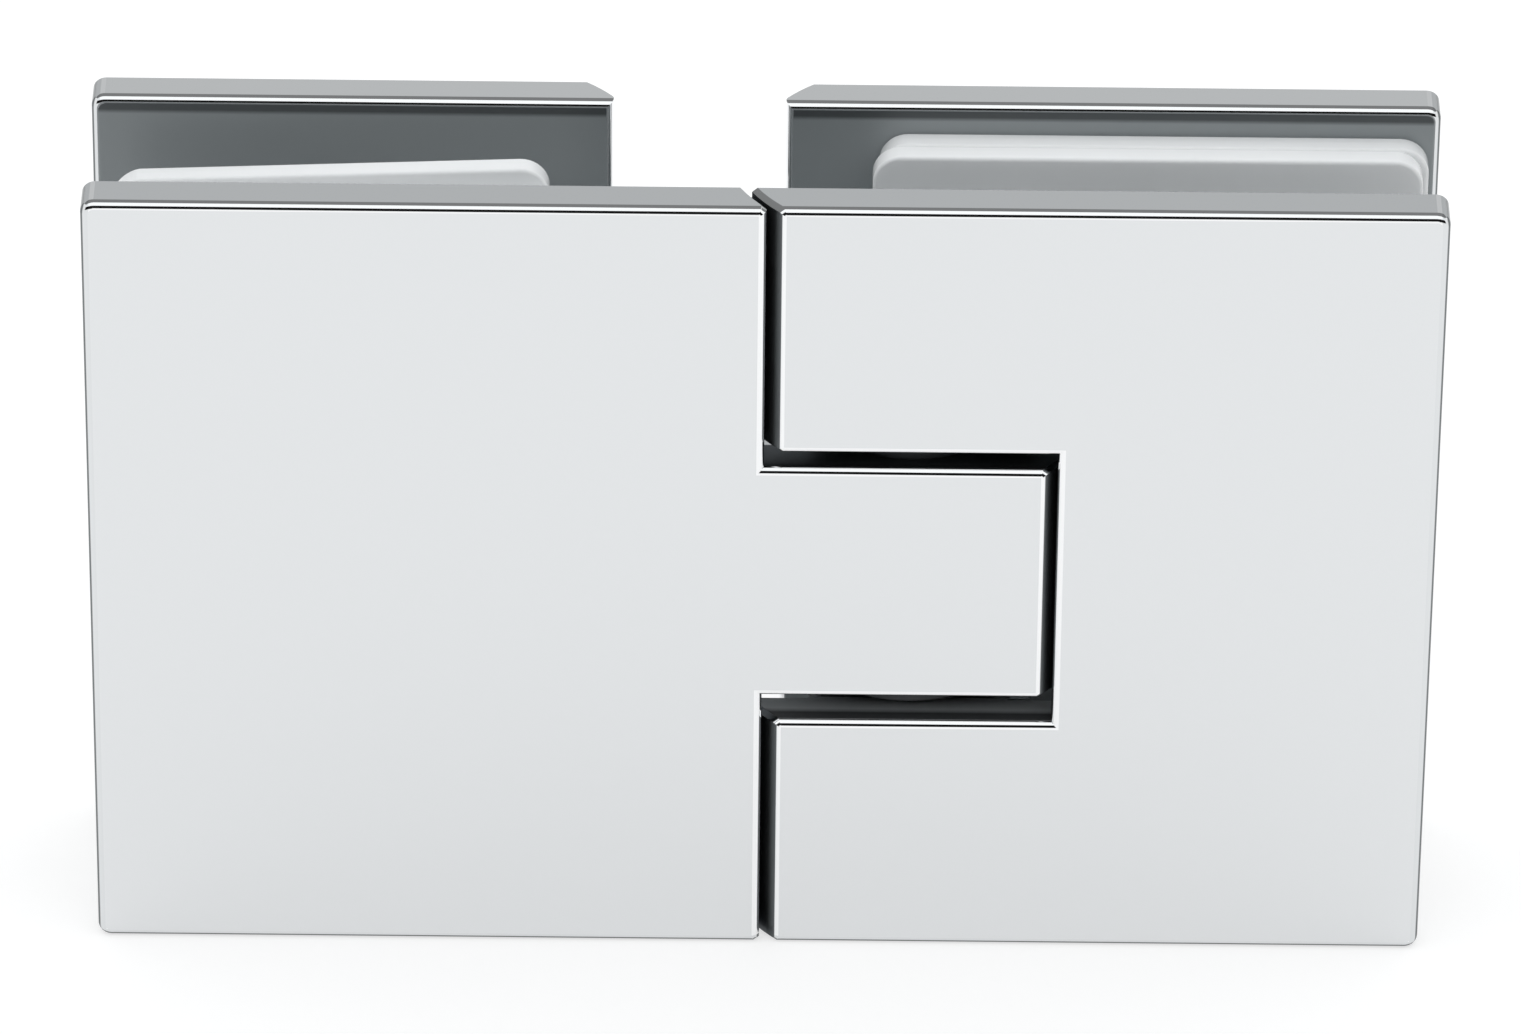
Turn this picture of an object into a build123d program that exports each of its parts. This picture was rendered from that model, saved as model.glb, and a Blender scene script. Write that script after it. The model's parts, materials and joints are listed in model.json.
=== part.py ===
from build123d import *
from math import cos, pi, radians, sin, sqrt
import os

# Glass-to-glass shower door hinge, closed.
# Millimetres. Origin on the pivot axis, at mid height and mid depth.
# +X points to the door leaf, -Y to the polished front, +Z up.

# ---- Overall sizes ----
hinge_height = 90.0
fixed_reach = 85.5          # pivot axis to the fixed leaf's outer end
door_reach = 54.5           # pivot axis to the door leaf's outer end
plate_thickness = 4.5
glass_slot = 17.4           # front plate to back plate, for the glass and its gaskets
edge_round = 0.8            # polished edges of the plates
rear_chamfer = 0.4          # edges of the back plates' rear faces
corner_round = 1.4          # plate corners seen from the front
joint_corner_cut = 0.5      # corners beside the joint seen from the front

# ---- Knuckle joint between the leaves ----
swing_radius = 19.0         # furthest point of the ends that turn past each other
joint_gap = 0.58            # fixed plate's hollowed end to the swinging arms
tongue_gap = 0.3            # tongue end to the notch wall
tongue_height = 28.0
upper_gap = 1.8             # tongue top to the upper arm
lower_gap = 3.0             # tongue bottom to the lower arm
knuckle_reach = 29.5        # full-depth part of the knuckle, from the axis
knuckle_root_reach = 33.0   # part of the knuckle that reaches between the plates
back_end_radius = 16.6      # rolled inner ends of the back plates
fixed_back_reach = 30.6     # pivot axis to the fixed back plate's inner end

# ---- Pivot ----
shaft_radius = 6.0
shaft_end_inset = 0.5       # shaft ends below the bosses' outer faces
cam_flat = 5.4              # axis to each flat of the square middle
cam_height = 18.6
running_gap = 0.05          # radial, shaft in bush
fit_gap = 0.02              # radial, parts fixed in one another
bush_wall = 2.0
bush_length = 4.6
bush_flange_radius = 11.0
thrust_gap = 0.1            # flange to the door's upper arm
bush_flange_thickness = upper_gap - thrust_gap
boss_radius = 10.5
boss_top = 30.0             # outer faces of the shaft bosses, above and below mid height
boss_side_reach = 13.0      # boss's flat side that takes the set screw
boss_back_gap = 0.2         # boss to back plate

# ---- Self-centring plungers ----
plunger_radius = 3.45
plunger_bore_gap = 0.05
plunger_offset = 4.6        # above and below mid height
plunger_length = 9.0
plunger_nose_gap = 0.1      # nose to the shaft's turning corners
spigot_radius = 1.8
spigot_length = 3.0
spring_outer_radius = 3.2
spring_wire_width = 1.0
spring_wire_height = 1.1
spring_turns = 4
spring_bends = 10           # straight lengths of wire in each turn
spring_length = 10.0
plug_radius = 4.0
plug_length = 7.0
plug_hex = 4.0
plug_hex_depth = 3.5

# ---- Clamping screws, bosses and sleeves ----
screw_height = 23.0         # above and below mid height
fixed_screw_offset = 13.0   # screw axes beyond the knuckle's root
door_screw_x = 24.0
screw_radius = 3.0
screw_head_radius = 6.0
screw_head_inset = 0.2      # head below the back plate's outer face
screw_length = 20.0
screw_hex = 4.0
screw_hex_depth = 2.4
screw_hole_gap = 0.4
thread_depth_spare = 1.0    # tapped hole beyond the screw's end
clamp_boss_radius = 6.0
clamp_boss_height = 6.0
sleeve_radius = 5.0
sleeve_end_gap = 0.6        # sleeve to back plate, so that the glass is clamped first

# ---- Shaft set screws ----
set_screw_radius = 2.5
set_screw_length = 6.0
set_screw_hex = 2.5
set_screw_hex_depth = 2.6
set_screw_flat = 5.0        # axis to the flat under the set screw
set_screw_flat_height = 9.0

# ---- Gaskets ----
gasket_thickness = 2.6
gasket_height = 84.0
gasket_corner = 3.0
fixed_gasket_outer_gap = 2.0    # gasket to the fixed leaf's outer end
fixed_gasket_inner_gap = 3.5    # gasket to the knuckle's root
fixed_gasket_hole_radius = 7.6  # loose over the sleeves
fixed_gasket_front_shift = 1.3  # towards the pivot, as far as it hangs askew
fixed_gasket_back_shift = -0.5
fixed_gasket_back_drop = 1.1
fixed_gasket_back_tilt = 2.0    # degrees, outer end low
fixed_gasket_boss_gap = 0.1     # stack to the clamping bosses' ends
door_gasket_outer_gap = 1.2     # gasket to the door leaf's outer end
door_gasket_inner_reach = 3.7   # inner end past the pivot axis, towards the fixed leaf
door_gasket_drop = 0.3
door_gasket_front_shift = -0.7
door_notch_reach = 20.0         # glass cut-out, from the axis
door_ear_radius = 8.0           # round ears of the cut-out at the clamping screws

# ---- Places worked out from the sizes above ----
half_height = hinge_height / 2
fixed_screw_x = -knuckle_root_reach - fixed_screw_offset
slot_half = glass_slot / 2
face_depth = slot_half + plate_thickness
tongue_half = tongue_height / 2
fixed_end_radius = swing_radius + joint_gap
notch_radius = swing_radius + tongue_gap
notch_top = tongue_half + upper_gap
notch_bottom = -tongue_half - lower_gap
bush_radius = shaft_radius + running_gap + bush_wall
knuckle_bore_radius = shaft_radius + 2 * running_gap
cam_half = cam_height / 2
shaft_half = boss_top - shaft_end_inset
plunger_nose_x = -shaft_radius - plunger_nose_gap
plunger_tail_x = plunger_nose_x - plunger_length
spring_tail_x = plunger_tail_x - spring_length
plug_tail_x = spring_tail_x - plug_length
screw_head_y = face_depth - screw_head_inset
clamp_boss_y = -slot_half + clamp_boss_height
thread_end_y = screw_head_y - screw_length - thread_depth_spare
sleeve_end_y = slot_half - sleeve_end_gap
screw_hole_radius = screw_radius + screw_hole_gap
screw_sink_radius = screw_head_radius + screw_head_inset + fit_gap
fixed_gasket_outer_x = -fixed_reach + fixed_gasket_outer_gap
fixed_gasket_inner_x = -knuckle_root_reach - fixed_gasket_inner_gap
fixed_gasket_width = fixed_gasket_inner_x - fixed_gasket_outer_x
fixed_gasket_x = (fixed_gasket_inner_x + fixed_gasket_outer_x) / 2
fixed_gasket_hang = fixed_gasket_hole_radius - sleeve_radius - fit_gap
fixed_gasket_front_drop = sqrt(fixed_gasket_hang**2 - fixed_gasket_front_shift**2)
fixed_gasket_y = clamp_boss_y + fixed_gasket_boss_gap
door_gasket_outer_x = door_reach - door_gasket_outer_gap
door_gasket_width = door_gasket_outer_x + door_gasket_inner_reach
door_gasket_x = (door_gasket_outer_x - door_gasket_inner_reach) / 2
door_gasket_notch_half = boss_top + door_gasket_drop

os.makedirs("parts", exist_ok=True)


def finish(builder, name):
    """Label a finished piece and write it to its own file."""
    builder.part.label = name
    export_step(builder.part, f"parts/{name}.step")


def upright(distance):
    """Plane seen from the front, X right and Z up, at depth Y = distance."""
    return Plane(origin=(0, distance, 0), x_dir=(1, 0, 0), z_dir=(0, -1, 0))


def crosswise(distance):
    """Plane square to X at X = distance, looking along +X."""
    return Plane(origin=(distance, 0, 0), x_dir=(0, 1, 0), z_dir=(1, 0, 0))


def plate_slab(x_low, x_high, y_low, z_low, z_high):
    """Add a slab of plate thickness whose nearer face is at y_low."""
    with BuildSketch(Plane.XY.offset(z_low)) as outline:
        with Locations(((x_low + x_high) / 2, y_low + plate_thickness / 2)):
            Rectangle(x_high - x_low, plate_thickness)
    extrude(outline.sketch, amount=z_high - z_low)


def cut_round(radius, z_low, z_high):
    """Cut a cylinder about the pivot axis."""
    with BuildSketch(Plane.XY.offset(z_low)) as outline:
        Circle(radius)
    extrude(outline.sketch, amount=z_high - z_low, mode=Mode.SUBTRACT)


def round_plate_corners(builder, x_end, y_low):
    """Round the two outer corners of a plate as seen from the front."""
    middle = y_low + plate_thickness / 2
    corners = builder.edges().filter_by(Axis.Y).filter_by(
        lambda e: abs(e.center().X - x_end) < edge_round
        and abs(e.center().Y - middle) < edge_round
        and abs(abs(e.center().Z) - half_height) < edge_round
    )
    fillet(corners, corner_round)


def break_joint_corners(builder, radius, heights):
    """Break the corners where a curved end meets level faces at these heights."""
    corners = builder.edges().filter_by(GeomType.CIRCLE).filter_by(
        lambda e: abs(e.radius - radius) < fit_gap
        and min(abs(e.center().Z - z) for z in heights) < fit_gap
    )
    chamfer(corners, joint_corner_cut)


def round_front_edges(builder):
    """Round every edge of the frontmost face."""
    fillet(builder.faces().sort_by(Axis.Y)[0].edges(), edge_round)


def chamfer_rear_edges(builder):
    """Break every edge of the rearmost face."""
    chamfer(builder.faces().sort_by(Axis.Y)[-1].edges(), rear_chamfer)


def clamp_bosses(screw_x):
    """Bosses on a front plate's inner face, tapped for the clamping screws."""
    with BuildSketch(upright(clamp_boss_y)) as bosses:
        with Locations((screw_x, screw_height), (screw_x, -screw_height)):
            Circle(clamp_boss_radius)
    extrude(bosses.sketch, amount=clamp_boss_height)
    with BuildSketch(upright(clamp_boss_y)) as threads:
        with Locations((screw_x, screw_height), (screw_x, -screw_height)):
            Circle(screw_radius + fit_gap)
    extrude(threads.sketch, amount=clamp_boss_y - thread_end_y, mode=Mode.SUBTRACT)


def countersunk_holes(screw_x):
    """Countersunk clearance holes through a back plate, heads to the back."""
    outside = Plane(origin=(0, face_depth, 0), x_dir=(1, 0, 0), z_dir=(0, 1, 0))
    with Locations(outside):
        with Locations((screw_x, screw_height), (screw_x, -screw_height)):
            CounterSinkHole(
                radius=screw_hole_radius,
                counter_sink_radius=screw_sink_radius,
                depth=plate_thickness,
                counter_sink_angle=90,
            )


# ---- Fixed leaf: front plate, cast in one with tongue, knuckle and bosses ----
with BuildPart() as fixed_front_plate:
    plate_slab(-fixed_reach, 0, -face_depth, -half_height, half_height)
    cut_round(fixed_end_radius, -half_height, half_height)
    round_plate_corners(fixed_front_plate, -fixed_reach, -face_depth)
    # tongue and knuckle, one full-depth block with a rounded nose
    with BuildSketch(Plane.XY.offset(-tongue_half)):
        Circle(swing_radius)
        Rectangle(2 * swing_radius, 2 * face_depth, mode=Mode.INTERSECT)
        with Locations((-knuckle_reach / 2, 0)):
            Rectangle(knuckle_reach, 2 * face_depth)
    extrude(amount=tongue_height)
    with BuildSketch(Plane.XY.offset(-tongue_half)):
        with Locations((-knuckle_root_reach / 2, 0)):
            Rectangle(knuckle_root_reach, glass_slot - 2 * boss_back_gap)
    extrude(amount=tongue_height)
    break_joint_corners(fixed_front_plate, swing_radius, (-tongue_half, tongue_half))
    break_joint_corners(fixed_front_plate, fixed_end_radius, (-half_height, half_height))
    round_front_edges(fixed_front_plate)
    chamfer_rear_edges(fixed_front_plate)
    clamp_bosses(fixed_screw_x)
    # pivot bore, wider at both ends for the bushes
    cut_round(knuckle_bore_radius, -tongue_half, tongue_half)
    cut_round(bush_radius + fit_gap, tongue_half - bush_length, tongue_half)
    cut_round(bush_radius + fit_gap, -tongue_half, -tongue_half + bush_length)
    # plunger bores, tapped where the plugs sit
    with BuildSketch(crosswise(-knuckle_root_reach)):
        with Locations((0, plunger_offset), (0, -plunger_offset)):
            Circle(plunger_radius + plunger_bore_gap)
    extrude(amount=knuckle_root_reach, mode=Mode.SUBTRACT)
    with BuildSketch(crosswise(-knuckle_root_reach)):
        with Locations((0, plunger_offset), (0, -plunger_offset)):
            Circle(plug_radius + fit_gap)
    extrude(amount=knuckle_root_reach + spring_tail_x, mode=Mode.SUBTRACT)
finish(fixed_front_plate, "fixed_front_plate")

# ---- Fixed leaf: back plate with a rolled inner end ----
fixed_back_roll_x = -fixed_back_reach - sqrt(back_end_radius**2 - slot_half**2)
with BuildPart() as fixed_back_plate:
    with BuildSketch(Plane.XY.offset(-half_height)):
        with Locations((fixed_back_roll_x, 0)):
            Circle(back_end_radius)
        with Locations(((fixed_back_roll_x - fixed_reach) / 2, (slot_half + face_depth) / 2)):
            Rectangle(fixed_reach + fixed_back_roll_x, plate_thickness)
        with Locations(((-fixed_reach - fixed_back_reach) / 2, (slot_half + face_depth) / 2)):
            Rectangle(fixed_reach - fixed_back_reach, plate_thickness, mode=Mode.INTERSECT)
    extrude(amount=hinge_height)
    round_plate_corners(fixed_back_plate, -fixed_reach, slot_half)
    round_front_edges(fixed_back_plate)
    chamfer_rear_edges(fixed_back_plate)
    countersunk_holes(fixed_screw_x)
finish(fixed_back_plate, "fixed_back_plate")

# ---- Door leaf: C-shaped front plate, cast in one with the shaft bosses ----
with BuildPart() as door_front_plate:
    with BuildSketch(Plane.XY.offset(-half_height)):
        Circle(swing_radius)
        with Locations((door_reach / 2, 0)):
            Rectangle(door_reach, 2 * face_depth)
        with Locations(((door_reach - swing_radius) / 2, -(slot_half + face_depth) / 2)):
            Rectangle(door_reach + swing_radius, plate_thickness, mode=Mode.INTERSECT)
    extrude(amount=hinge_height)
    cut_round(notch_radius, notch_bottom, notch_top)
    round_plate_corners(door_front_plate, door_reach, -face_depth)
    break_joint_corners(
        door_front_plate, swing_radius, (-half_height, notch_bottom, notch_top, half_height)
    )
    round_front_edges(door_front_plate)
    # bosses that carry the shaft's ends, flat to the back and at the set screw's side
    for z_low, z_high in ((notch_top, boss_top), (-boss_top, notch_bottom)):
        with BuildSketch(Plane.XY.offset(z_low)):
            Circle(boss_radius)
            with Locations((boss_side_reach / 2, 0)):
                Rectangle(boss_side_reach, 2 * boss_radius)
            with Locations((0, -slot_half / 2)):
                Rectangle(2 * boss_radius, slot_half)
            Rectangle(2 * boss_side_reach, glass_slot - 2 * boss_back_gap, mode=Mode.INTERSECT)
            with Locations((0, -slot_half + boss_back_gap / 2)):
                Rectangle(2 * boss_radius, boss_back_gap)
        extrude(amount=z_high - z_low)
        cut_round(shaft_radius + fit_gap, z_low, z_high)
    clamp_bosses(door_screw_x)
    # tapped cross holes for the shaft's set screws
    set_screw_height = (notch_top + boss_top) / 2
    with BuildSketch(crosswise(0)):
        with Locations((0, set_screw_height), (0, -set_screw_height)):
            Circle(set_screw_radius + fit_gap)
    extrude(amount=boss_side_reach, mode=Mode.SUBTRACT)
finish(door_front_plate, "door_front_plate")

# ---- Door leaf: C-shaped back plate with rolled inner ends ----
with BuildPart() as door_back_plate:
    with BuildSketch(Plane.XY.offset(-half_height)):
        Circle(back_end_radius)
        with Locations((door_reach / 2, 0)):
            Rectangle(door_reach, 2 * face_depth)
        with Locations(((door_reach - back_end_radius) / 2, (slot_half + face_depth) / 2)):
            Rectangle(door_reach + back_end_radius, plate_thickness, mode=Mode.INTERSECT)
    extrude(amount=hinge_height)
    cut_round(notch_radius, notch_bottom, notch_top)
    round_plate_corners(door_back_plate, door_reach, slot_half)
    round_front_edges(door_back_plate)
    chamfer_rear_edges(door_back_plate)
    countersunk_holes(door_screw_x)
finish(door_back_plate, "door_back_plate")

# ---- Pivot shaft: round journals, square cam in the middle, flats for the set screws ----
with BuildPart() as pivot_shaft:
    with BuildSketch(Plane.XY.offset(-shaft_half)):
        Circle(shaft_radius)
    extrude(amount=2 * shaft_half)
    with BuildSketch(Plane.XY.offset(-cam_half)):
        Rectangle(4 * shaft_radius, 4 * shaft_radius)
        Rectangle(2 * cam_flat, 2 * cam_flat, mode=Mode.SUBTRACT)
    extrude(amount=cam_height, mode=Mode.SUBTRACT)
    for z_middle in (set_screw_height, -set_screw_height):
        with BuildSketch(Plane.XY.offset(z_middle - set_screw_flat_height / 2)):
            with Locations((set_screw_flat + shaft_radius / 2, 0)):
                Rectangle(shaft_radius, 2 * shaft_radius)
        extrude(amount=set_screw_flat_height, mode=Mode.SUBTRACT)
finish(pivot_shaft, "pivot_shaft")

# ---- Flanged bushes, pressed into the knuckle from both ends ----
for name, side in (("bush_upper", 1), ("bush_lower", -1)):
    with BuildPart() as bush:
        with BuildSketch(Plane.XZ):
            with BuildLine():
                bore = shaft_radius + running_gap
                seat = side * tongue_half
                inner = seat - side * (bush_length - running_gap)
                outer = seat + side * bush_flange_thickness
                Polyline(
                    (bore, inner),
                    (bush_radius, inner),
                    (bush_radius, seat),
                    (bush_flange_radius, seat),
                    (bush_flange_radius, outer),
                    (bore, outer),
                    close=True,
                )
            make_face()
        revolve(axis=Axis.Z)
    finish(bush, name)

# ---- Plungers, springs and plugs that centre the door ----
for side_name, side in (("upper", 1), ("lower", -1)):
    z_middle = side * plunger_offset
    with BuildPart() as plunger:
        with BuildSketch(crosswise(plunger_tail_x)):
            with Locations((0, z_middle)):
                Circle(plunger_radius)
        extrude(amount=plunger_length)
        with BuildSketch(crosswise(plunger_tail_x - spigot_length)):
            with Locations((0, z_middle)):
                Circle(spigot_radius)
        extrude(amount=spigot_length)
    finish(plunger, f"plunger_{side_name}")

    with BuildPart() as plug:
        with BuildSketch(crosswise(plug_tail_x)):
            with Locations((0, z_middle)):
                Circle(plug_radius)
        extrude(amount=plug_length)
        with BuildSketch(crosswise(plug_tail_x)):
            with Locations((0, z_middle)):
                RegularPolygon(plug_hex / 2, 6, major_radius=False)
        extrude(amount=plug_hex_depth, mode=Mode.SUBTRACT)
    finish(plug, f"plunger_plug_{side_name}")

    with BuildPart() as spring:
        coil_start_x = spring_tail_x + spring_wire_height / 2 + fit_gap
        coil_rise = (spring_length - spring_wire_height - 2 * fit_gap) / (spring_turns * spring_bends)
        mean_radius = spring_outer_radius - spring_wire_width / 2
        bends = [
            (
                coil_start_x + coil_rise * step,
                mean_radius * cos(2 * pi * step / spring_bends),
                z_middle + mean_radius * sin(2 * pi * step / spring_bends),
            )
            for step in range(spring_turns * spring_bends + 1)
        ]
        with BuildLine() as coil:
            Polyline(*bends)
        with BuildSketch(Plane(origin=coil.line @ 0, x_dir=(1, 0, 0), z_dir=coil.line % 0)):
            Rectangle(spring_wire_height, spring_wire_width)
        sweep(path=coil.line, transition=Transition.RIGHT)
    finish(spring, f"plunger_spring_{side_name}")

# ---- Clamping screws and their sleeves ----
for leaf, screw_x in (("fixed", fixed_screw_x), ("door", door_screw_x)):
    for side_name, z_middle in (("upper", screw_height), ("lower", -screw_height)):
        screw_axis = Axis((screw_x, 0, z_middle), (0, 1, 0))
        outside = Plane(origin=(screw_x, screw_head_y, z_middle), x_dir=(1, 0, 0), z_dir=(0, 1, 0))

        with BuildPart() as screw:
            with BuildSketch(Plane(origin=(screw_x, 0, z_middle), z_dir=(0, 0, 1))):
                with BuildLine():
                    cone_foot = screw_head_y - screw_head_radius + screw_radius
                    tip = screw_head_y - screw_length
                    Polyline(
                        (0, screw_head_y),
                        (screw_head_radius, screw_head_y),
                        (screw_radius, cone_foot),
                        (screw_radius, tip),
                        (0, tip),
                        close=True,
                    )
                make_face()
            revolve(axis=screw_axis)
            with BuildSketch(outside):
                RegularPolygon(screw_hex / 2, 6, major_radius=False)
            extrude(amount=-screw_hex_depth, mode=Mode.SUBTRACT)
        finish(screw, f"{leaf}_screw_{side_name}")

        with BuildPart() as sleeve:
            with BuildSketch(Plane(origin=(screw_x, clamp_boss_y, z_middle), z_dir=(0, 1, 0))):
                Circle(sleeve_radius)
                Circle(screw_hole_radius, mode=Mode.SUBTRACT)
            extrude(amount=sleeve_end_y - clamp_boss_y)
        finish(sleeve, f"{leaf}_sleeve_{side_name}")

# ---- Set screws that lock the shaft in the door leaf ----
for side_name, z_middle in (("upper", set_screw_height), ("lower", -set_screw_height)):
    with BuildPart() as set_screw:
        with BuildSketch(crosswise(set_screw_flat)):
            with Locations((0, z_middle)):
                Circle(set_screw_radius)
        extrude(amount=set_screw_length)
        with BuildSketch(crosswise(set_screw_flat + set_screw_length)):
            with Locations((0, z_middle)):
                RegularPolygon(set_screw_hex / 2, 6, major_radius=False)
        extrude(amount=-set_screw_hex_depth, mode=Mode.SUBTRACT)
    finish(set_screw, f"shaft_set_screw_{side_name}")

# ---- Fixed leaf gaskets, hung loose on the sleeves ----
for name, y_back, shift, drop, tilt in (
    ("fixed_gasket_front", fixed_gasket_y + gasket_thickness, fixed_gasket_front_shift,
     fixed_gasket_front_drop, 0),
    ("fixed_gasket_back", fixed_gasket_y + 2 * gasket_thickness, fixed_gasket_back_shift,
     fixed_gasket_back_drop, fixed_gasket_back_tilt),
):
    gasket_plane = Plane(
        origin=(fixed_gasket_x + shift, y_back, -drop),
        x_dir=(cos(radians(tilt)), 0, sin(radians(tilt))),
        z_dir=(0, -1, 0),
    )
    with BuildPart() as gasket:
        with BuildSketch(gasket_plane):
            RectangleRounded(fixed_gasket_width, gasket_height, gasket_corner)
        extrude(amount=gasket_thickness)
        with BuildSketch(gasket_plane):
            hole_x = fixed_screw_x - fixed_gasket_x
            with Locations((hole_x, screw_height), (hole_x, -screw_height)):
                Circle(fixed_gasket_hole_radius)
        extrude(amount=gasket_thickness, mode=Mode.SUBTRACT)
    finish(gasket, name)

# ---- Door leaf gaskets, cut out like the glass and resting on the upper boss ----
for name, y_back, shift in (
    ("door_gasket_front", slot_half - gasket_thickness, door_gasket_front_shift),
    ("door_gasket_back", slot_half, 0),
):
    gasket_plane = Plane(
        origin=(door_gasket_x + shift, y_back, -door_gasket_drop),
        x_dir=(1, 0, 0),
        z_dir=(0, -1, 0),
    )
    with BuildPart() as gasket:
        with BuildSketch(gasket_plane):
            RectangleRounded(door_gasket_width, gasket_height, gasket_corner)
        extrude(amount=gasket_thickness)
        with BuildSketch(gasket_plane):
            notch_end = door_notch_reach - door_gasket_x
            with Locations((notch_end - door_gasket_width / 2, 0)):
                Rectangle(door_gasket_width, 2 * door_gasket_notch_half)
            ear_x = door_screw_x - door_gasket_x
            with Locations((ear_x, screw_height), (ear_x, -screw_height)):
                Circle(door_ear_radius)
        extrude(amount=gasket_thickness, mode=Mode.SUBTRACT)
    finish(gasket, name)
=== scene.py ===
import json
from math import cos, radians, sin
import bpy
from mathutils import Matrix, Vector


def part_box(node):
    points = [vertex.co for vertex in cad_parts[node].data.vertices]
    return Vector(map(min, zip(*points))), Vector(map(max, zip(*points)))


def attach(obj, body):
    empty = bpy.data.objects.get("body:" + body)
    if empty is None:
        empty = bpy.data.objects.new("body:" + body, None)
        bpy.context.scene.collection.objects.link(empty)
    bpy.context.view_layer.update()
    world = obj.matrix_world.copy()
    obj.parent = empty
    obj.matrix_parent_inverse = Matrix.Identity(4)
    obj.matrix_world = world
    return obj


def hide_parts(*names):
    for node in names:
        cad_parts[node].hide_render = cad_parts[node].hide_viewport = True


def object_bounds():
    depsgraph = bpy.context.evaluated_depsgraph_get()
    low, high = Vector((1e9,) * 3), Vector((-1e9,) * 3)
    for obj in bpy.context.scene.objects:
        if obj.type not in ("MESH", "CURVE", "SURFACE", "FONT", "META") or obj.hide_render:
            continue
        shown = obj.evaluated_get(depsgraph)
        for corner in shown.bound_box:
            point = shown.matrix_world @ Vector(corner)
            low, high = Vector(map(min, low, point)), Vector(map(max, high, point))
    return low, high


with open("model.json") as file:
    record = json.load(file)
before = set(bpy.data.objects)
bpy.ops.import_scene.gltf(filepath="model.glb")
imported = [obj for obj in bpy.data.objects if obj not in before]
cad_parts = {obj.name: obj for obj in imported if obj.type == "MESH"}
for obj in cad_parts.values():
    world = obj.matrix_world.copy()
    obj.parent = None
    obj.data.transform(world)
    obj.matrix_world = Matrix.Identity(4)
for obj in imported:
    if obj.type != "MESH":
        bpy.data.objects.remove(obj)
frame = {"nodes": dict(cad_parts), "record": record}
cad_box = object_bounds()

from types import SimpleNamespace

import bmesh
import bpy
from mathutils import Euler, Matrix, Vector

# Chrome glass-to-glass shower hinge, in metres.
# The frame's origin is on the pivot axis at mid height: +X to the door leaf, -Y to the front.
MM = 0.001

# ---- Camera ----
CAMERA_PITCH = 31.78        # degrees below the horizon
CAMERA_YAW = 0.056
CAMERA_ROLL = 0.60
CAMERA_DISTANCE = 1.1927
CAMERA_SIDE = -0.01567      # pivot axis to the right of the view's centre line
CAMERA_RISE = 0.0006
CAMERA_TARGET = Vector((0, -0.0012, 0))
LENS = 268.9
SENSOR_WIDTH = 36

# ---- Sizes of the hinge that its packed boxes don't give ----
SLOT_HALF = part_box("door_back_plate")[0].y          # mid depth to the plates' inner faces
SWING_RADIUS = Vector((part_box("door_front_plate")[0].x, SLOT_HALF)).length   # joint walls
TONGUE_HALF = 14.0 * MM
NOTCH_LOW = 17.0 * MM           # lower arm, below mid height

# ---- Gaskets ----
PAD_CORNER = 3.0 * MM
PAD_EDGE = 0.38 * MM
PAD_HOLE = 7.6 * MM
PAD_HOLE_X = 14.0 * MM          # from the fixed pads' middle
PAD_TILT = 0.6                  # degrees, of the fixed back pad
PAD_SLIP = (0.4 * MM, 0.7 * MM)  # of the fixed back pad, right and up
PAD_TRIM = 0.8 * MM             # by which it is shorter at each end
PAD_DROOP = 2.2 * MM
PAD_RIPPLE = 0.18 * MM
PAD_WAVE = 4.0 * MM
PAD_EAR = 8.0 * MM
PAD_EAR_TURN = 119              # degrees to either side of the door's end, of each ear's arc
PAD_NOTCH = 20.0 * MM           # cut-out, from the pivot axis
PAD_NOTCH_HALF = 30.3 * MM
WELD_DISTANCE = 1e-6

# ---- Colours of the plated pieces ----
FRONT_CHROME = (0.79, 0.803, 0.813)
# The back plates' chrome is paler than the front's: painted light, for their brighter top faces.
BACK_CHROME_LIT = (0.88, 0.89, 0.895)
# Painted highlight along the rounded edges.
EDGE_HIGHLIGHT_CHROME = (0.96, 0.965, 0.97)
# Painted shade on the rounded edges at the leaves' outer ends and bottom.
END_EDGE_SHADE_CHROME = (0.76, 0.775, 0.785)
# Painted dark line where those edges turn outwards.
END_SHADE_LINE_CHROME = (0.14, 0.15, 0.155)
# Painted shade: grey on the faces turned to the glass, which also have a duller finish.
INNER_SHADE_METAL = (0.32, 0.345, 0.355)
# Painted shade: a darker rim along their top and bottom.
RIM_SHADE_METAL = (0.085, 0.094, 0.098)
LIP_METAL = (0.34, 0.36, 0.37)
# Painted shade on the walls inside the joint.
JOINT_SHADE_METAL = (0.20, 0.21, 0.22)
JOINT_SHADE_TINT = (0.02, 0.02, 0.02)     # painted shade on its reflections at a low angle
# Painted shade, darker, at the front of the joint's curved walls.
WALL_LIP_SHADE_METAL = (0.14, 0.15, 0.155)
# Painted light on the rear of the lower arm's level wall.
LEVEL_LIT_METAL = (0.42, 0.44, 0.45)
# Painted shade on the front of that wall.
LEVEL_LIP_SHADE_METAL = (0.05, 0.053, 0.055)
CAST_METALLIC = 0.15                # the faces turned to the glass and the lower arm's level wall, whose colours are painted shade and light, shine less like metal
MIRROR_ROUGHNESS = (0.015, 0.045)
CAST_ROUGHNESS = (0.36, 0.42)

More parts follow.
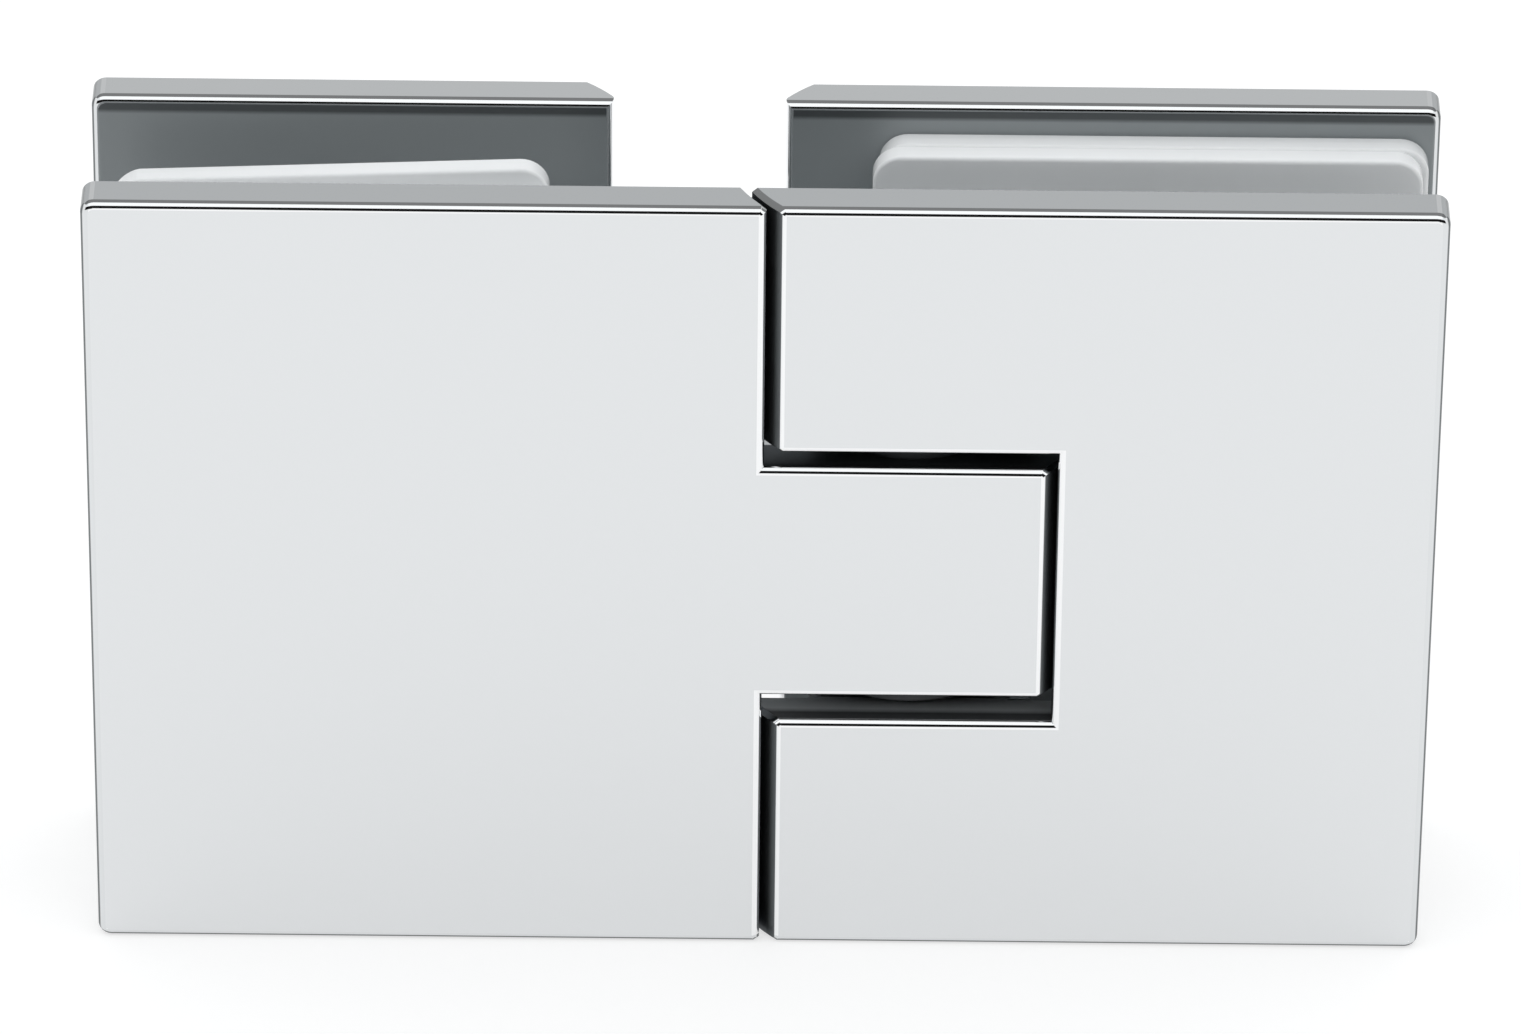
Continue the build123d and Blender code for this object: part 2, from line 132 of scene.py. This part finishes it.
# ---- Where each of those colours lies ----
EDGE_WIDTH = 0.9 * MM           # of the rounding along the plates' edges
RIM_WIDTH = 1.7 * MM            # darker band of painted shade along the inner faces' top and bottom
WALL_LIP = 1.05 * MM            # front of the joint's curved walls
LEVEL_LIP = 2.2 * MM            # front of the lower arm's level wall
INNER_BAND = 0.2 * MM           # either side of the inner faces' depth
WALL_BAND = (-0.1 * MM, 0.8 * MM)   # either side of the swing radius
LEVEL_BAND = 0.1 * MM           # above and below the level walls
WALL_DEPTH = 0.3 * MM           # by which the level walls start inside the slot
HARD = 0.05 * MM                # widths over which one colour blends into the next
FIRM = 0.1 * MM
SOFT = 0.2 * MM
RIM_FADE = 0.5 * MM
LEVEL_FADE = 0.8 * MM

# ---- Which way a face is turned: a limit for its normal, and the width of the blend there.
# Below the limit counts where that width is negative.
FLAT_FACE = (0.998, 0.003)      # squarely along any axis
GLASS_FACE = (0.96, 0.02)       # towards the glass
FLAT_GLASS_FACE = (0.992, 0.006)
UPRIGHT_WALL = (0.3, -0.1)      # up or down
SIDE_WALL = (0.55, 0.1)         # left or right
LEVEL_WALL = (0.97, 0.04)       # up or down
END_LINE = (0.70, 0.1)          # left or right
BOTTOM_LINE = (-0.40, -0.1)     # up

# ---- Studio ----
FLOOR_SIZE = 8.0
FLOOR_COLOUR = (0.42, 0.42, 0.42)
FLOOR_LIGHT = 0.3           # glow that falls on the object
FLOOR_MIRROR_LEVEL = 0.585  # glow as it shows in the chrome
FLOOR_VIEW_LEVEL = 0.67     # glow as the camera sees it
WORLD_LIGHT = 0.7
WORLD_VIEW_LEVEL = 1.0
CARD_RADIUS = 1.9
CARD_LENGTH = 6.0
CARD_STEPS = 24
SOFTBOX_LEVEL = 1.2
WHITE_MIRROR_LEVEL = 1.05   # as the front half of the softbox shows in the chrome
GREY_MIRROR_LEVEL = 0.2     # as its rear half shows there
BACK_CARD_LEVEL = 0.54
DARK_LEVEL = 0.01
CARD_COLOUR = (0.97, 0.99, 1.0)
BACK_EDGE = 36.0            # degrees above the horizon behind, where the softbox starts
TOP_EDGE = 95.0             # where its rear half meets its front half
FRONT_EDGE = 38.0           # degrees above the horizon in front, where it ends


# ---------------------------------------------------------------- shader graphs
class Graph:
    """The nodes of a material or world. Its calls add nodes and return the socket they feed."""

    def __init__(self, tree):
        self.nodes = tree.nodes
        self.links = tree.links

    def feed(self, value, socket):
        """Link a socket to this one, or set this one to a plain number or colour."""
        if isinstance(value, bpy.types.NodeSocket):
            self.links.new(value, socket)
        elif isinstance(value, tuple):
            socket.default_value = (*value, 1)
        else:
            socket.default_value = value

    def math(self, operation, *values):
        node = self.nodes.new("ShaderNodeMath")
        node.operation = operation
        for value, socket in zip(values, node.inputs):
            self.feed(value, socket)
        return node.outputs[0]

    def split(self, vector):
        """The X, Y and Z of a vector."""
        node = self.nodes.new("ShaderNodeSeparateXYZ")
        self.feed(vector, node.inputs[0])
        return list(node.outputs)

    def distance(self, x, y):
        """From the pivot axis to a point at that X and Y."""
        flat = self.nodes.new("ShaderNodeCombineXYZ")
        self.feed(x, flat.inputs["X"])
        self.feed(y, flat.inputs["Y"])
        length = self.nodes.new("ShaderNodeVectorMath")
        length.operation = "LENGTH"
        self.feed(flat.outputs[0], length.inputs[0])
        return length.outputs["Value"]

    def noise(self, scale, detail=3.0):
        """A noise texture in object coordinates; scale in waves per metre."""
        place = self.nodes.new("ShaderNodeTexCoord")
        texture = self.nodes.new("ShaderNodeTexNoise")
        texture.inputs["Scale"].default_value = scale
        texture.inputs["Detail"].default_value = detail
        self.feed(place.outputs["Object"], texture.inputs["Vector"])
        return texture.outputs["Fac"]

    def spread(self, value, low, high):
        """A value from 0 to 1 spread between low and high."""
        node = self.nodes.new("ShaderNodeMapRange")
        node.inputs["To Min"].default_value = low
        node.inputs["To Max"].default_value = high
        self.feed(value, node.inputs["Value"])
        return node.outputs["Result"]

    def above(self, value, limit, blend):
        """Mask: 0 below the limit and 1 above it, blended over that width, or the other way
        for a negative width."""
        node = self.nodes.new("ShaderNodeMapRange")
        node.inputs["From Min"].default_value = limit - blend / 2
        node.inputs["From Max"].default_value = limit + blend / 2
        self.feed(value, node.inputs["Value"])
        return node.outputs["Result"]

    def every(self, *masks):
        """Mask where all of these hold."""
        product = masks[0]
        for mask in masks[1:]:
            product = self.math("MULTIPLY", product, mask)
        return product

    def either(self, *masks):
        """Mask where any of these holds: the largest of them."""
        largest = masks[0]
        for mask in masks[1:]:
            largest = self.math("MAXIMUM", largest, mask)
        return largest

    def between(self, value, low, high, blend):
        """Mask: 1 between low and high, 0 outside, blended over that width."""
        return self.every(self.above(value, low, blend), self.above(value, high, -blend))

    def mix(self, amount, low, high, kind="RGBA"):
        """From low to high; each is a colour, or a number for the kind FLOAT, or a socket."""
        node = self.nodes.new("ShaderNodeMix")
        node.data_type = kind
        self.feed(low, node.inputs["A"])
        self.feed(high, node.inputs["B"])
        self.feed(amount, node.inputs["Factor"])
        return node.outputs["Result"]

    def bump(self, height, distance, strength, shader):
        """Fine relief of that depth, in metres."""
        node = self.nodes.new("ShaderNodeBump")
        node.inputs["Distance"].default_value = distance
        node.inputs["Strength"].default_value = strength
        self.feed(height, node.inputs["Height"])
        self.feed(node.outputs["Normal"], shader.inputs["Normal"])


def new_material(name):
    """A material with its Principled shader and its graph."""
    material = bpy.data.materials.new(name)
    material.use_nodes = True
    graph = Graph(material.node_tree)
    return material, graph.nodes["Principled BSDF"], graph


# ---------------------------------------------------------------- materials
def metal(name, colour, roughness, grain, relief):
    """Metal with uneven polish and a faint relief."""
    material, shader, graph = new_material(name)
    shader.inputs["Base Color"].default_value = (*colour, 1)
    shader.inputs["Metallic"].default_value = 1.0
    polish = graph.spread(graph.noise(grain), *roughness)
    graph.feed(polish, shader.inputs["Roughness"])
    graph.bump(graph.noise(grain * 3), relief, 0.2, shader)
    return material


def surface(graph):
    """Where a point of a plate lies, and which way it faces, in the frame's axes."""
    place = graph.nodes.new("ShaderNodeTexCoord")
    facing = graph.split(place.outputs["Normal"])
    spot = graph.split(place.outputs["Object"])
    return SimpleNamespace(
        facing=facing,
        turn=[graph.math("ABSOLUTE", part) for part in facing],
        spot=spot,
        depth=graph.math("ABSOLUTE", spot[1]),
        height=graph.math("ABSOLUTE", spot[2]),
    )


def glass_side(graph, at, inner_side):
    """Mask and colour of the faces turned to the glass, at Y direction inner_side: grey painted
    shade, with a darker rim of painted shade and a slightly paler rounded lip."""
    towards_glass = graph.math("MULTIPLY", at.facing[1], float(inner_side))
    inside = graph.between(at.depth, SLOT_HALF - INNER_BAND, SLOT_HALF + INNER_BAND, FIRM)
    mask = graph.every(graph.above(towards_glass, *GLASS_FACE), inside)
    off_rim = graph.above(at.height, cad_box[1].z - RIM_WIDTH, -RIM_FADE)
    flat_shade = graph.mix(off_rim, RIM_SHADE_METAL, INNER_SHADE_METAL)
    flat = graph.above(towards_glass, *FLAT_GLASS_FACE)
    return mask, graph.mix(flat, LIP_METAL, flat_shade)


def joint_walls(graph, at):
    """Mask of the walls inside the joint, mask of the lower arm's level one among them, which is
    the palest, and their colour: painted shade on the curved walls, darker at their front, and
    on the level wall painted light towards the rear and painted shade at the front."""
    curved = graph.every(
        graph.between(
            graph.distance(at.spot[0], at.spot[1]),
            SWING_RADIUS + WALL_BAND[0], SWING_RADIUS + WALL_BAND[1], HARD,
        ),
        graph.above(at.turn[2], *UPRIGHT_WALL),
        graph.above(at.turn[0], *SIDE_WALL),
    )
    level = graph.every(
        graph.between(at.height, TONGUE_HALF - LEVEL_BAND, NOTCH_LOW + LEVEL_BAND, HARD),
        graph.above(at.turn[2], *LEVEL_WALL),
        graph.above(at.depth, SLOT_HALF - WALL_DEPTH, SOFT),
    )
    low_half = graph.above(at.spot[2], -(TONGUE_HALF + NOTCH_LOW) / 2, -FIRM)
    low_wall = graph.every(level, low_half)
    face_depth = cad_box[1].y
    wall_lip = graph.above(at.depth, face_depth - WALL_LIP, SOFT)
    level_lip = graph.above(at.depth, face_depth - LEVEL_LIP, LEVEL_FADE)
    # Painted shade on the joint walls. The level wall is painted light towards the rear and
    # painted shade at the front.
    wall_shade = graph.mix(
        low_wall,
        graph.mix(wall_lip, JOINT_SHADE_METAL, WALL_LIP_SHADE_METAL),
        graph.mix(level_lip, LEVEL_LIT_METAL, LEVEL_LIP_SHADE_METAL),
    )
    return graph.either(curved, level), low_wall, wall_shade


def painted_edge_lines(graph, at, colour):
    """Colour of the polished faces and their edges: a painted highlight along the rounded edges,
    painted darker at the leaves' outer ends and bottom, with a painted dark line where those
    turn outwards."""
    # Outer ends and bottom: painted shade in place of the painted edge highlight.
    outer_edge = graph.either(
        graph.above(at.spot[0], cad_box[0].x + EDGE_WIDTH, -FIRM),
        graph.above(at.spot[0], cad_box[1].x - EDGE_WIDTH, FIRM),
        graph.above(at.spot[2], cad_box[0].z + EDGE_WIDTH, -FIRM),
    )
    # Where the rounding turns outwards: a painted dark line.
    outwards = graph.either(
        graph.above(at.turn[0], *END_LINE),
        graph.above(at.facing[2], *BOTTOM_LINE),
    )
    end_edge = graph.mix(outwards, END_EDGE_SHADE_CHROME, END_SHADE_LINE_CHROME)
    edge = graph.mix(outer_edge, EDGE_HIGHLIGHT_CHROME, end_edge)
    flat_face = graph.above(graph.either(*at.turn), *FLAT_FACE)
    return graph.mix(flat_face, edge, colour)


def plated(name, colour, inner_side):
    """Mirror chrome. The faces turned to the glass and the walls inside the joint are duller,
    and their colours are painted shade."""
    material, shader, graph = new_material(name)
    at = surface(graph)
    inner, inner_shade = glass_side(graph, at, inner_side)
    joint, low_wall, joint_shade = joint_walls(graph, at)
    # Painted shade: grey on the faces turned to the glass and dark on the joint walls, over the
    # chrome with its painted edge lines.
    plate = graph.mix(inner, painted_edge_lines(graph, at, colour), inner_shade)
    graph.feed(graph.mix(joint, plate, joint_shade), shader.inputs["Base Color"])
    grey = graph.either(inner, low_wall)
    graph.feed(graph.spread(grey, 1.0, CAST_METALLIC), shader.inputs["Metallic"])
    # Painted shade on the joint walls' reflections at a low angle.
    low_angle = graph.mix(joint, (1.0, 1.0, 1.0), JOINT_SHADE_TINT)
    graph.feed(low_angle, shader.inputs["Specular Tint"])
    polish = graph.spread(graph.noise(90), *MIRROR_ROUGHNESS)
    skin = graph.spread(graph.noise(180, 1.0), *CAST_ROUGHNESS)
    roughness = graph.mix(graph.either(inner, joint), polish, skin, "FLOAT")
    graph.feed(roughness, shader.inputs["Roughness"])
    graph.bump(graph.noise(270), 0.000002, 0.2, shader)
    return material


def nylon(name, colour):
    """Turned nylon with a dull, slightly uneven skin."""
    material, shader, graph = new_material(name)
    shader.inputs["Base Color"].default_value = (*colour, 1)
    shader.inputs["Subsurface Weight"].default_value = 0.15
    shader.inputs["Subsurface Radius"].default_value = (0.001, 0.001, 0.001)
    skin = graph.noise(400)
    graph.feed(graph.spread(skin, 0.42, 0.55), shader.inputs["Roughness"])
    graph.bump(skin, 0.00002, 0.3, shader)
    return material


def clear_pvc(name):
    """Milky soft PVC sheet, glossy, with faint clouds."""
    material, shader, graph = new_material(name)
    cloud = graph.noise(60)
    milk = graph.mix(cloud, (0.86, 0.87, 0.875), (0.93, 0.935, 0.94))
    graph.feed(milk, shader.inputs["Base Color"])
    shader.inputs["Subsurface Weight"].default_value = 0.35
    shader.inputs["Subsurface Radius"].default_value = (0.0015, 0.0015, 0.0015)
    shader.inputs["Subsurface Scale"].default_value = 1.0
    shader.inputs["IOR"].default_value = 1.5
    graph.feed(graph.spread(cloud, 0.08, 0.18), shader.inputs["Roughness"])
    graph.bump(graph.noise(220), 0.00004, 0.3, shader)
    return material


def stage_emitter(name, level, mirror_level):
    """A glowing card that shows at its own level in mirrors."""
    material = bpy.data.materials.new(name)
    material.use_nodes = True
    graph = Graph(material.node_tree)
    graph.nodes.clear()
    light = graph.nodes.new("ShaderNodeEmission")
    light.inputs["Color"].default_value = (*CARD_COLOUR, 1)
    light.inputs["Strength"].default_value = level
    if mirror_level != level:
        path = graph.nodes.new("ShaderNodeLightPath")
        strength = graph.spread(path.outputs["Is Glossy Ray"], level, mirror_level)
        graph.feed(strength, light.inputs["Strength"])
    output = graph.nodes.new("ShaderNodeOutputMaterial")
    graph.feed(light.outputs[0], output.inputs["Surface"])
    return material


def paint(slot, material):
    """Give this material to every CAD node that the record puts in that slot."""
    for part in frame["record"]["subparts"]:
        if part["material_slot"] == slot:
            for place in frame["nodes"][part["node"]].material_slots:
                place.material = material


pvc = clear_pvc("gasket_pvc_milky")
paint("chrome_front", plated("polished_chrome", FRONT_CHROME, inner_side=1))
paint("chrome_back", plated("chrome_rear", BACK_CHROME_LIT, inner_side=-1))
paint("steel_shaft", metal("ground_steel", (0.56, 0.57, 0.58), (0.18, 0.30), 300, 0.000004))
paint("spring_steel", metal("spring_steel", (0.30, 0.31, 0.33), (0.25, 0.40), 500, 0.000004))
paint("black_steel", metal("blackened_steel", (0.045, 0.045, 0.05), (0.35, 0.50), 500, 0.000006))
paint("steel_screw", metal("stainless_screw", (0.62, 0.62, 0.61), (0.20, 0.34), 400, 0.000004))
paint("nylon_bush", nylon("bush_nylon", (0.05, 0.055, 0.06)))
paint("nylon_sleeve", nylon("sleeve_nylon", (0.82, 0.82, 0.80)))
paint("gasket_pvc", pvc)


# ---------------------------------------------------------------- gaskets
def arc(centre, radius, start, end, steps=10):
    """Points on a circle from one angle to another, in degrees."""
    angles = [radians(start + (end - start) * i / steps) for i in range(steps + 1)]
    return [(centre[0] + radius * cos(a), centre[1] + radius * sin(a)) for a in angles]


def rounded_end(x, half_height, side):
    """The two rounded corners of a pad's end; side is -1 for the left end, 1 for the right."""
    inner_x, inner_z = x - side * PAD_CORNER, half_height - PAD_CORNER
    low, high = (inner_x, -inner_z), (inner_x, inner_z)
    if side > 0:
        return arc(low, PAD_CORNER, -90, 0) + arc(high, PAD_CORNER, 0, 90)
    return arc(high, PAD_CORNER, 90, 180) + arc(low, PAD_CORNER, 180, 270)


def flat_sheet(name, rings, thickness):
    """Mesh of a level sheet with rounded edges, from its outline and holes."""
    curve = bpy.data.curves.new(name, "CURVE")
    curve.dimensions = "2D"
    curve.fill_mode = "BOTH"
    curve.extrude = thickness / 2 - PAD_EDGE
    curve.bevel_depth = PAD_EDGE
    curve.bevel_resolution = 3
    curve.offset = -PAD_EDGE
    for ring in rings:
        spline = curve.splines.new("POLY")
        spline.points.add(len(ring) - 1)
        for point, (x, z) in zip(spline.points, ring):
            point.co = (x, z, 0, 1)
        spline.use_cyclic_u = True
    flat = bpy.data.objects.new("outline", curve)
    bpy.context.collection.objects.link(flat)
    filled = flat.evaluated_get(bpy.context.evaluated_depsgraph_get())
    mesh = bpy.data.meshes.new_from_object(filled)
    bpy.data.objects.remove(flat)
    return mesh


def pad(node, body, outline, holes=(), tilt=0.0, droop=0.0, ripple=0.0):
    """A soft sheet in place of a CAD gasket. The outline is about the gasket's middle; the
    sheet is tilted by that angle, its top left corner droops by that much, and it ripples by
    that depth."""
    low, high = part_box(node)
    middle = (low + high) / 2
    mesh = flat_sheet(node + "_soft", [outline, *holes], high.y - low.y)
    form = bmesh.new()
    form.from_mesh(mesh)
    bmesh.ops.remove_doubles(form, verts=form.verts, dist=WELD_DISTANCE)
    half_width = max(x for x, z in outline)
    half_height = max(z for x, z in outline)
    for vertex in form.verts:
        x, z, depth = vertex.co
        depth += ripple * sin(x / PAD_WAVE) * cos(z / PAD_WAVE)
        z -= droop * max(0.0, -x / half_width) ** 3 * max(0.0, z / half_height)
        vertex.co = (
            middle.x + x * cos(tilt) - z * sin(tilt),
            middle.y - depth,
            middle.z + x * sin(tilt) + z * cos(tilt),
        )
    bmesh.ops.recalc_face_normals(form, faces=form.faces)
    for face in form.faces:
        face.smooth = True
    form.to_mesh(mesh)
    form.free()
    soft = bpy.data.objects.new(node + "_soft", mesh)
    bpy.context.collection.objects.link(soft)
    mesh.materials.clear()
    mesh.materials.append(pvc)
    weighted = soft.modifiers.new("even_shading", "WEIGHTED_NORMAL")
    weighted.keep_sharp = True
    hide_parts(node)
    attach(soft, body)


def screw_height(leaf):
    low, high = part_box(leaf + "_screw_upper")
    return (low.z + high.z) / 2


def fixed_pads():
    """Plain sheets, each with two holes by which it hangs on the sleeves."""
    low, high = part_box("fixed_gasket_front")
    width, height = high.x - low.x, high.z - low.z
    z = screw_height("fixed")
    holes = [arc((PAD_HOLE_X, side * z), PAD_HOLE, 0, -350, 35) for side in (1, -1)]
    outlines = [
        rounded_end(half, height / 2, 1) + rounded_end(-half, height / 2, -1)
        for half in (width / 2, width / 2 - PAD_TRIM)
    ]
    slipped = [(x + PAD_SLIP[0], z + PAD_SLIP[1]) for x, z in outlines[1]]
    tilt = radians(PAD_TILT)
    pad("fixed_gasket_front", "fixed_leaf", outlines[0], holes, ripple=PAD_RIPPLE)
    pad("fixed_gasket_back", "fixed_leaf", slipped, holes, tilt, PAD_DROOP, PAD_RIPPLE)


def door_pads():
    """C-shaped sheets, cut out round the joint and the clamping bosses like the glass."""
    low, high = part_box("door_gasket_back")
    half_width, half_height = (high.x - low.x) / 2, (high.z - low.z) / 2
    middle_x = (high.x + low.x) / 2
    screw_low, screw_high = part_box("door_screw_upper")
    ear_x = (screw_low.x + screw_high.x) / 2 - middle_x
    z = screw_height("door")
    notch = PAD_NOTCH - middle_x
    corner_x, corner_z = PAD_CORNER - half_width, half_height - PAD_CORNER
    outline = (
        arc((corner_x, -corner_z), PAD_CORNER, 180, 270)
        + rounded_end(half_width, half_height, 1)
        + arc((corner_x, corner_z), PAD_CORNER, 90, 180)
        + [(-half_width, PAD_NOTCH_HALF), (notch, PAD_NOTCH_HALF)]
        + arc((ear_x, z), PAD_EAR, PAD_EAR_TURN, -PAD_EAR_TURN, 24)
        + arc((ear_x, -z), PAD_EAR, PAD_EAR_TURN, -PAD_EAR_TURN, 24)
        + [(notch, -PAD_NOTCH_HALF), (-half_width, -PAD_NOTCH_HALF)]
    )
    pad("door_gasket_front", "door_leaf", outline)
    pad("door_gasket_back", "door_leaf", outline)


fixed_pads()
door_pads()


# ---------------------------------------------------------------- studio
def stage_piece(name, points, faces, material):
    """A piece of the studio, from its points and faces."""
    mesh = bpy.data.meshes.new(name)
    mesh.from_pydata(points, [], faces)
    mesh.materials.append(material)
    piece = bpy.data.objects.new(name, mesh)
    bpy.context.collection.objects.link(piece)
    return piece


def card(name, low, high, level, mirror_level):
    """Part of a long arch over the object, from low to high degrees above the back horizon."""
    ring = [radians(low + (high - low) * i / CARD_STEPS) for i in range(CARD_STEPS + 1)]
    points = [
        (side * CARD_LENGTH / 2, CARD_RADIUS * cos(a), CARD_RADIUS * sin(a) + cad_box[0].z)
        for a in ring
        for side in (-1, 1)
    ]
    faces = [(2 * i, 2 * i + 1, 2 * i + 3, 2 * i + 2) for i in range(CARD_STEPS)]
    arch = stage_piece(name, points, faces, stage_emitter(name, level, mirror_level))
    arch.visible_camera = False


def white_for_view(graph):
    """1 for rays from the camera, from mirrors and through clear pieces, otherwise 0."""
    path = graph.nodes.new("ShaderNodeLightPath")
    kinds = ("Is Camera Ray", "Is Glossy Ray", "Is Transmission Ray")
    return graph.either(*(path.outputs[kind] for kind in kinds))


def make_floor():
    """White floor that keeps a soft shadow."""
    material, shader, graph = new_material("floor_white")
    shader.inputs["Base Color"].default_value = (*FLOOR_COLOUR, 1)
    shader.inputs["Roughness"].default_value = 0.9
    shader.inputs["Specular IOR Level"].default_value = 0.0
    shader.inputs["Emission Color"].default_value = (1, 1, 1, 1)
    path = graph.nodes.new("ShaderNodeLightPath")
    glow = graph.either(
        graph.spread(white_for_view(graph), FLOOR_LIGHT, FLOOR_MIRROR_LEVEL),
        graph.spread(path.outputs["Is Camera Ray"], FLOOR_LIGHT, FLOOR_VIEW_LEVEL),
    )
    graph.feed(glow, shader.inputs["Emission Strength"])
    half, z = FLOOR_SIZE / 2, cad_box[0].z
    corners = [(-half, -half, z), (half, -half, z), (half, half, z), (-half, half, z)]
    stage_piece("floor", corners, [(0, 1, 2, 3)], material)


def make_world():
    """White all round, a little less bright as light than to the eye."""
    world = bpy.data.worlds.new("studio")
    bpy.context.scene.world = world
    world.use_nodes = True
    graph = Graph(world.node_tree)
    graph.nodes.clear()
    light = graph.nodes.new("ShaderNodeBackground")
    light.inputs["Color"].default_value = (1, 1, 1, 1)
    strength = graph.spread(white_for_view(graph), WORLD_LIGHT, WORLD_VIEW_LEVEL)
    graph.feed(strength, light.inputs["Strength"])
    output = graph.nodes.new("ShaderNodeOutputWorld")
    graph.feed(light.outputs[0], output.inputs["Surface"])


def make_camera():
    """The photo's long lens, from above the hinge's front."""
    data = bpy.data.cameras.new("camera")
    data.lens = LENS
    data.sensor_width = SENSOR_WIDTH
    data.clip_start = 0.01
    data.clip_end = 20
    camera = bpy.data.objects.new("camera", data)
    bpy.context.collection.objects.link(camera)
    level = Euler((radians(90 - CAMERA_PITCH), 0, radians(-CAMERA_YAW))).to_matrix()
    camera.location = CAMERA_TARGET + level @ Vector((CAMERA_SIDE, CAMERA_RISE, CAMERA_DISTANCE))
    camera.rotation_euler = (level @ Matrix.Rotation(radians(CAMERA_ROLL), 3, "Z")).to_euler()
    bpy.context.scene.camera = camera


make_floor()
make_world()
card("back_card", 0, BACK_EDGE, BACK_CARD_LEVEL, BACK_CARD_LEVEL)
card("softbox_rear", BACK_EDGE, TOP_EDGE, SOFTBOX_LEVEL, GREY_MIRROR_LEVEL)
card("softbox", TOP_EDGE, 180 - FRONT_EDGE, SOFTBOX_LEVEL, WHITE_MIRROR_LEVEL)
card("front_flag", 180 - FRONT_EDGE, 180, DARK_LEVEL, DARK_LEVEL)
make_camera()
bpy.context.scene.view_settings.view_transform = "Standard"
